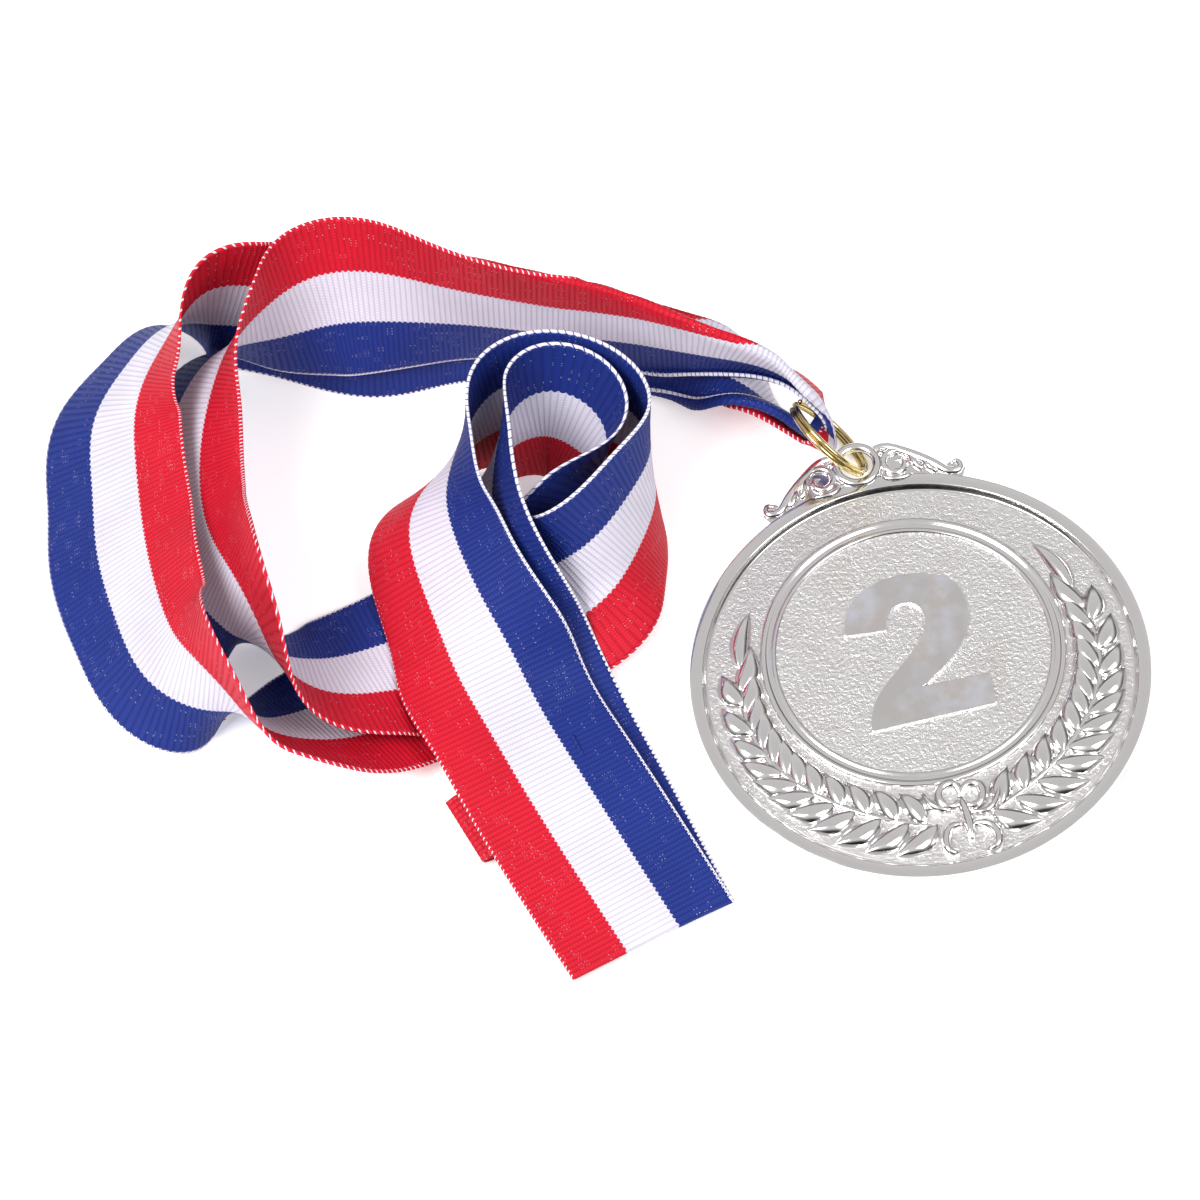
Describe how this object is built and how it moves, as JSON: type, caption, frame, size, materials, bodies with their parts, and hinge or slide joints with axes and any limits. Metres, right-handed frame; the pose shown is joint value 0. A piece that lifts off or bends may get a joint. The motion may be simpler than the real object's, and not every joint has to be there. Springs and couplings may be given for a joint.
{
  "type": "award medal",
  "caption": "Cast award medal with a laurel wreath, crest and raised figure, on a brass split ring threaded on a folded three-stripe woven neck ribbon.",
  "frame": {"origin": "centre of the disc's back face, which lies on the table", "axes": "+Z out of the disc's front face, +Y from the disc's centre towards the crest and eyelet, +X to the figure's right"},
  "size_m": [0.1474, 0.1172, 0.0312],
  "materials": {
    "plated_metal": "polished with a sandblasted field",
    "insert_metal": "sandblasted field, polished figure",
    "ring_wire": "polished wire",
    "ribbon_weave": "ribbed polyester weave, blue, white and red bands",
    "seam_weave": "ribbed polyester weave"
  },
  "bodies": {
    "ribbon": {"ribbon_near_1": "ribbon_weave", "ribbon_near_2": "ribbon_weave", "ribbon_near_3": "ribbon_weave", "ribbon_near_4": "ribbon_weave", "ribbon_near_5": "ribbon_weave", "ribbon_near_6": "ribbon_weave", "ribbon_near_7": "ribbon_weave", "ribbon_near_8": "ribbon_weave", "ribbon_end_fold": "ribbon_weave", "ribbon_far_1": "ribbon_weave", "ribbon_far_2": "ribbon_weave", "ribbon_far_3": "ribbon_weave", "ribbon_far_4": "ribbon_weave", "ribbon_far_5": "ribbon_weave", "ribbon_far_6": "ribbon_weave", "ribbon_far_7": "ribbon_weave", "ribbon_far_8": "ribbon_weave", "ribbon_bight": "ribbon_weave", "seam_tail_1": "seam_weave", "seam_tail_2": "seam_weave"},
    "ring": {"split_ring": "ring_wire"},
    "medal": {"medal_casting": "plated_metal", "numeral_insert": "insert_metal"}
  },
  "joints": [
    {"name": "ring_turn", "type": "hinge", "parent": "ribbon", "child": "ring", "pos_m": [-0.0031, 0.038, 0.00648], "axis": [0.8035, 0.2988, 0.515], "range_deg": [-14, 0]},
    {"name": "medal_swing", "type": "hinge", "parent": "ring", "child": "medal", "pos_m": [0, 0.03795, 0.0022], "axis": [0, 0, 1], "range_deg": [-2, 8]}
  ]
}
